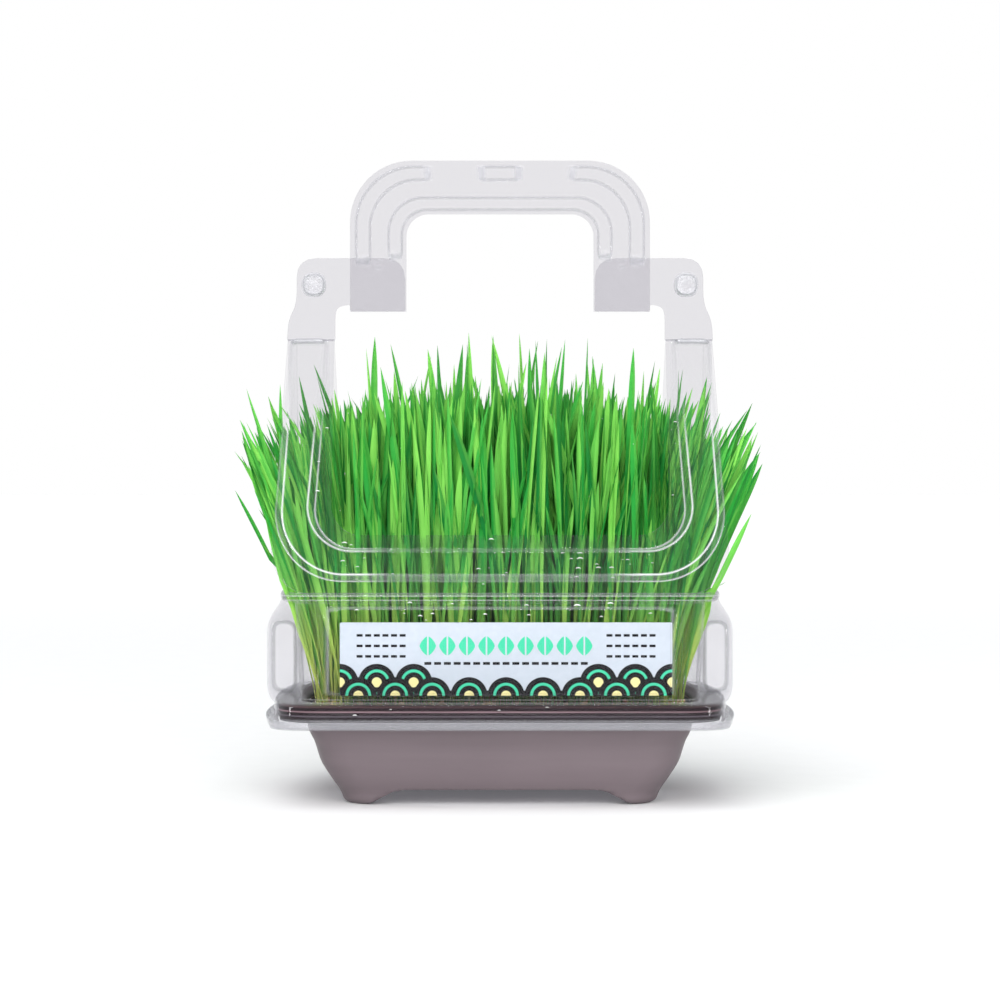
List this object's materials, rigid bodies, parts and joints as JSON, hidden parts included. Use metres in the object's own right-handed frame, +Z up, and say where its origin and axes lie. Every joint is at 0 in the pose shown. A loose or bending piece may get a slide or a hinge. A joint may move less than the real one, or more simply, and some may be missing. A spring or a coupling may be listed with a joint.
{
  "type": "tray of growing wheatgrass in a clear carrier",
  "caption": "Dense wheatgrass on a root mat in a footed tray, held in a clear two-part carrier with a card and a folding handle.",
  "frame": {"origin": "on the ground under the middle of the tray, where the carrier's two halves meet", "axes": "+Z up, +X to the right as the card is faced, -Y towards the card"},
  "size_m": [0.243, 0.1526, 0.2872],
  "materials": {
    "tray": "brown moulded plastic, satin",
    "roots": "pale woven roots",
    "grass": "fresh green blades, slight sheen",
    "clear_sheet": "clear thermoformed sheet, glossy",
    "card": "printed card, smooth"
  },
  "bodies": {
    "holder": {"tray": "tray", "root_mat": "roots", "carrier_front": "clear_sheet", "carrier_back": "clear_sheet", "card_insert": "card", "grass_1_front": "grass", "grass_1_back": "grass", "grass_2_front": "grass", "grass_2_back": "grass", "grass_3_front": "grass", "grass_3_back": "grass", "grass_4_front": "grass", "grass_4_back": "grass"},
    "front_handle": {"handle_front": "clear_sheet"},
    "back_handle": {"handle_back": "clear_sheet"}
  },
  "joints": [
    {"name": "handle_front_fold", "type": "hinge", "parent": "holder", "child": "front_handle", "pos_m": [0, -0.0009, 0.2186], "axis": [1, 0, 0], "range_deg": [0, 90]},
    {"name": "handle_back_fold", "type": "hinge", "parent": "holder", "child": "back_handle", "pos_m": [0, 0.0009, 0.2186], "axis": [-1, 0, 0], "range_deg": [0, 90]}
  ]
}
